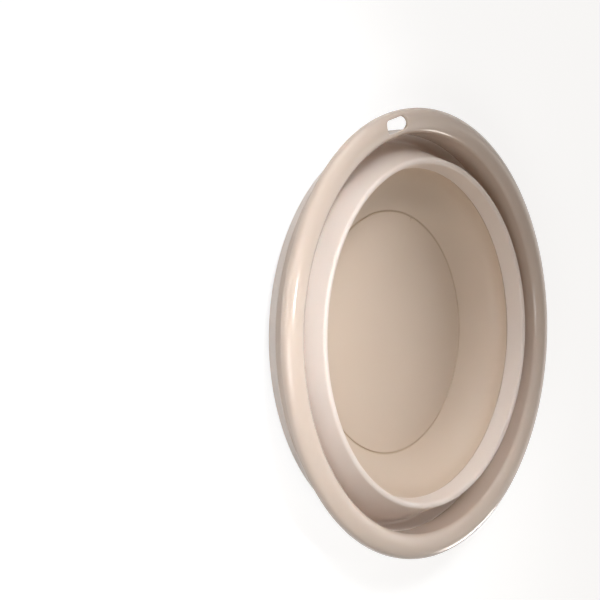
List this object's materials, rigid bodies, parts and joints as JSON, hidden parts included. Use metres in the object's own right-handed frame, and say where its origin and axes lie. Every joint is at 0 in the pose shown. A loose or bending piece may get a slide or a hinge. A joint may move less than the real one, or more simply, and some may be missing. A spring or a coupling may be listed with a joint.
{
  "type": "collapsible camp washbasin",
  "caption": "Round collapsible camp washbasin: a hard rim with a hanging slot and a hard base bowl, joined by a soft wall that folds flat between them.",
  "frame": {"origin": "centre of the circle of foot pads, on the surface that the basin stands on", "axes": "+Z is the basin's axis, up out of its mouth; the hanging slot is on -X"},
  "size_m": [0.32, 0.32, 0.046],
  "materials": {
    "hard_beige": "glossy moulded polypropylene, warm beige",
    "bowl_beige": "satin moulded polypropylene, warm beige",
    "soft_white": "satin thermoplastic elastomer, off-white",
    "pad_white": "matte thermoplastic elastomer, off-white"
  },
  "bodies": {
    "base": {"base_bowl": "bowl_beige", "fold_wall": "soft_white", "foot_pad_1": "pad_white", "foot_pad_2": "pad_white", "foot_pad_3": "pad_white", "foot_pad_4": "pad_white", "foot_pad_5": "pad_white", "foot_pad_6": "pad_white"},
    "rim": {"rim_ring": "hard_beige"}
  },
  "joints": [
    {"name": "rim_lift", "type": "slide", "parent": "base", "child": "rim", "axis": [0, 0, 1], "range_m": [0, 0.067], "deforming": ["fold_wall"]}
  ]
}
